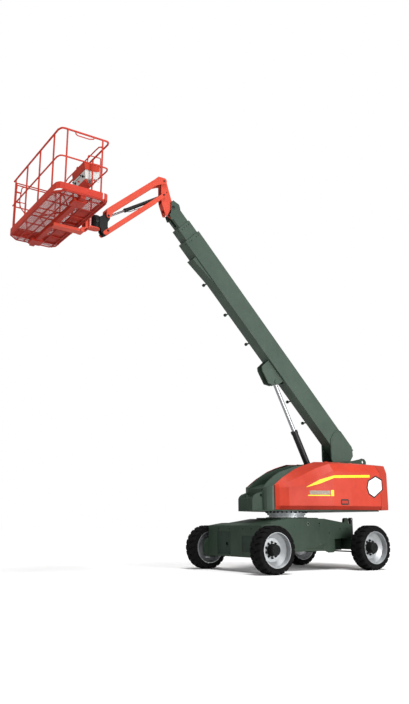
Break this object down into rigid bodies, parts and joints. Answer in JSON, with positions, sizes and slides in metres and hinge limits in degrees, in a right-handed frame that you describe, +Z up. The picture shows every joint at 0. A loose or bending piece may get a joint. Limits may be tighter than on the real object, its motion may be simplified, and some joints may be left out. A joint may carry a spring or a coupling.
{
  "type": "telescopic boom lift",
  "caption": "Self-propelled telescopic boom lift with slewing turntable, extending boom, articulated jib and a railed work platform.",
  "frame": {"origin": "on the ground under the slewing axis, midway between the axles", "axes": "+X the way the boom points, over the fixed drive axle; +Y the machine's left; +Z up"},
  "size_m": [7.9748, 2.54, 7.7888],
  "materials": {
    "green_paint": "satin",
    "dark_green": "satin",
    "red_paint": "satin",
    "red_dark": "satin",
    "black_paint": "satin",
    "cast_red": "satin",
    "galvanised": "satin",
    "chrome": "polished",
    "tyre_rubber": "matte",
    "grey_box": "satin",
    "engine_grey": "matte"
  },
  "bodies": {
    "chassis": {"chassis_frame": "dark_green", "chassis_drive_end": "dark_green", "steer_axle": "dark_green", "slew_ring_lower": "galvanised", "steer_cylinder": "black_paint", "oscillation_cylinder_left": "black_paint", "oscillation_cylinder_right": "black_paint"},
    "knuckle_left": {"knuckle_left": "dark_green"},
    "knuckle_right": {"knuckle_right": "dark_green"},
    "tie_rod": {"tie_rod": "dark_green"},
    "steer_rod": {"steer_rod": "chrome"},
    "turntable": {"slew_ring_upper": "galvanised", "turntable_base": "dark_green", "boom_pin": "galvanised", "lift_pin": "galvanised", "tower_left": "dark_green", "tower_right": "dark_green", "front_cover_left": "dark_green", "front_cover_right": "dark_green", "counterweight": "cast_red", "engine_block": "engine_grey", "tank_block": "engine_grey"},
    "hood_left": {"hood_left": "red_paint"},
    "hood_right": {"hood_right": "red_paint"},
    "boom_base": {"boom_base": "green_paint"},
    "boom_mid": {"boom_mid": "green_paint"},
    "boom_fly": {"boom_fly": "green_paint"},
    "lift_barrel": {"lift_barrel": "black_paint"},
    "lift_rod": {"lift_rod": "chrome"},
    "jib_bracket": {"jib_bracket": "red_paint"},
    "level_rod": {"level_rod": "red_paint"},
    "jib_upper_arm": {"jib_upper_arm": "red_paint"},
    "jib_lower_arm": {"jib_lower_arm": "red_paint"},
    "jib_barrel": {"jib_barrel": "black_paint"},
    "jib_rod": {"jib_rod": "chrome"},
    "jib_end_bracket": {"jib_end_bracket": "black_paint"},
    "platform": {"platform_support": "red_paint", "rotator_strap": "black_paint", "console_bracket": "red_paint", "platform_frame": "red_dark", "platform_floor": "red_dark", "rail_outer": "red_paint", "rail_inner": "red_paint", "rail_left": "red_paint", "console": "grey_box", "console_hood": "red_paint"},
    "gate": {"gate": "red_paint"},
    "wheel_drive_left": {"tyre_drive_left": "tyre_rubber", "wheel_drive_left": "galvanised"},
    "wheel_drive_right": {"tyre_drive_right": "tyre_rubber", "wheel_drive_right": "galvanised"},
    "wheel_steer_left": {"tyre_steer_left": "tyre_rubber", "wheel_steer_left": "galvanised"},
    "wheel_steer_right": {"tyre_steer_right": "tyre_rubber", "wheel_steer_right": "galvanised"}
  },
  "joints": [
    {"name": "steer_left", "type": "hinge", "parent": "chassis", "child": "knuckle_left", "pos_m": [-1.265, 0.8, 0.435], "axis": [0, 0, 1], "range_deg": [-35, 35]},
    {"name": "steer_right", "type": "hinge", "parent": "chassis", "child": "knuckle_right", "pos_m": [-1.265, -0.8, 0.435], "axis": [0, 0, 1], "range_deg": [-35, 35]},
    {"name": "tie_rod_end", "type": "hinge", "parent": "knuckle_left", "child": "tie_rod", "pos_m": [-1.135, 0.76, 0.348], "axis": [0, 0, 1], "range_deg": [-35, 35]},
    {"name": "steer_rod_slide", "type": "slide", "parent": "chassis", "child": "steer_rod", "axis": [0, 1, 0], "range_m": [-0.08, 0.08]},
    {"name": "wheel_drive_left_spin", "type": "hinge", "parent": "chassis", "child": "wheel_drive_left", "pos_m": [1.265, 1.0915, 0.435], "axis": [0, 1, 0], "continuous": true},
    {"name": "wheel_drive_right_spin", "type": "hinge", "parent": "chassis", "child": "wheel_drive_right", "pos_m": [1.265, -1.0915, 0.435], "axis": [0, 1, 0], "continuous": true},
    {"name": "wheel_steer_left_spin", "type": "hinge", "parent": "knuckle_left", "child": "wheel_steer_left", "pos_m": [-1.265, 1.0915, 0.435], "axis": [0, 1, 0], "continuous": true},
    {"name": "wheel_steer_right_spin", "type": "hinge", "parent": "knuckle_right", "child": "wheel_steer_right", "pos_m": [-1.265, -1.0915, 0.435], "axis": [0, 1, 0], "continuous": true},
    {"name": "slew", "type": "hinge", "parent": "chassis", "child": "turntable", "pos_m": [0, 0, 1.1], "axis": [0, 0, 1], "continuous": true},
    {"name": "hood_left_hinge", "type": "hinge", "parent": "turntable", "child": "hood_left", "pos_m": [-0.5, 0.446, 2.168], "axis": [1, 0, 0], "range_deg": [0, 60]},
    {"name": "hood_right_hinge", "type": "hinge", "parent": "turntable", "child": "hood_right", "pos_m": [-0.5, -0.446, 2.168], "axis": [-1, 0, 0], "range_deg": [0, 60]},
    {"name": "boom_lift", "type": "hinge", "parent": "turntable", "child": "boom_base", "pos_m": [-1.5, 0, 2.05], "axis": [0, -1, 0], "range_deg": [-46, 29]},
    {"name": "lift_barrel_hinge", "type": "hinge", "parent": "turntable", "child": "lift_barrel", "pos_m": [-0.95, 0, 1.5], "axis": [0, -1, 0], "range_deg": [-46, 30]},
    {"name": "lift_rod_slide", "type": "slide", "parent": "lift_barrel", "child": "lift_rod", "axis": [0.4535, 0, 0.8913], "range_m": [-0.64, 0.42]},
    {"name": "telescope_mid", "type": "slide", "parent": "boom_base", "child": "boom_mid", "axis": [0.6947, 0, 0.7193], "range_m": [0, 3.95]},
    {"name": "telescope_fly", "type": "slide", "parent": "boom_mid", "child": "boom_fly", "axis": [0.6947, 0, 0.7193], "range_m": [0, 3.95]},
    {"name": "bracket_level", "type": "hinge", "parent": "boom_fly", "child": "jib_bracket", "pos_m": [2.85914, 0, 7.20318], "axis": [0, -1, 0], "range_deg": [-29, 46]},
    {"name": "level_rod_hinge", "type": "hinge", "parent": "jib_bracket", "child": "level_rod", "pos_m": [3.01814, 0, 7.05318], "axis": [0, -1, 0], "range_deg": [-46, 29]},
    {"name": "jib_lift", "type": "hinge", "parent": "jib_bracket", "child": "jib_upper_arm", "pos_m": [3.09014, 0, 7.71918], "axis": [0, -1, 0], "range_deg": [-10.3, 101.4]},
    {"name": "jib_lower_hinge", "type": "hinge", "parent": "jib_bracket", "child": "jib_lower_arm", "pos_m": [3.09014, 0, 7.41218], "axis": [0, -1, 0], "range_deg": [-18.6, 101.4]},
    {"name": "jib_end_level", "type": "hinge", "parent": "jib_upper_arm", "child": "jib_end_bracket", "pos_m": [4.30682, 0, 6.64653], "axis": [0, -1, 0], "range_deg": [-101.4, 18.6]},
    {"name": "jib_barrel_hinge", "type": "hinge", "parent": "jib_bracket", "child": "jib_barrel", "pos_m": [3.09014, 0, 7.41218], "axis": [0, -1, 0], "range_deg": [-19, 100]},
    {"name": "jib_rod_slide", "type": "slide", "parent": "jib_barrel", "child": "jib_rod", "axis": [0.8464, 0, -0.5326], "range_m": [-0.1, 0.48]},
    {"name": "platform_swing", "type": "hinge", "parent": "jib_end_bracket", "child": "platform", "pos_m": [4.53182, 0, 6.46653], "axis": [0, 0, 1], "range_deg": [-90, 90]},
    {"name": "gate_hinge", "type": "hinge", "parent": "platform", "child": "gate", "pos_m": [5.72582, -1.17, 6.95053], "axis": [0, 0, -1], "range_deg": [0, 80]}
  ],
  "couplings": [
    {"joint": "steer_right", "follows": "steer_left", "ratio": 1},
    {"joint": "tie_rod_end", "follows": "steer_left", "ratio": -1},
    {"joint": "steer_rod_slide", "follows": "steer_left", "m_per_rad": -0.125},
    {"joint": "lift_barrel_hinge", "follows": "boom_lift", "ratio": 0.95},
    {"joint": "lift_rod_slide", "follows": "boom_lift", "m_per_rad": 0.72},
    {"joint": "telescope_fly", "follows": "telescope_mid", "ratio": 1},
    {"joint": "bracket_level", "follows": "boom_lift", "ratio": -1},
    {"joint": "level_rod_hinge", "follows": "boom_lift", "ratio": 1},
    {"joint": "jib_lower_hinge", "follows": "jib_lift", "ratio": 1},
    {"joint": "jib_end_level", "follows": "jib_lift", "ratio": -1},
    {"joint": "jib_barrel_hinge", "follows": "jib_lift", "ratio": 0.965},
    {"joint": "jib_rod_slide", "follows": "jib_lift", "m_per_rad": 0.265}
  ]
}
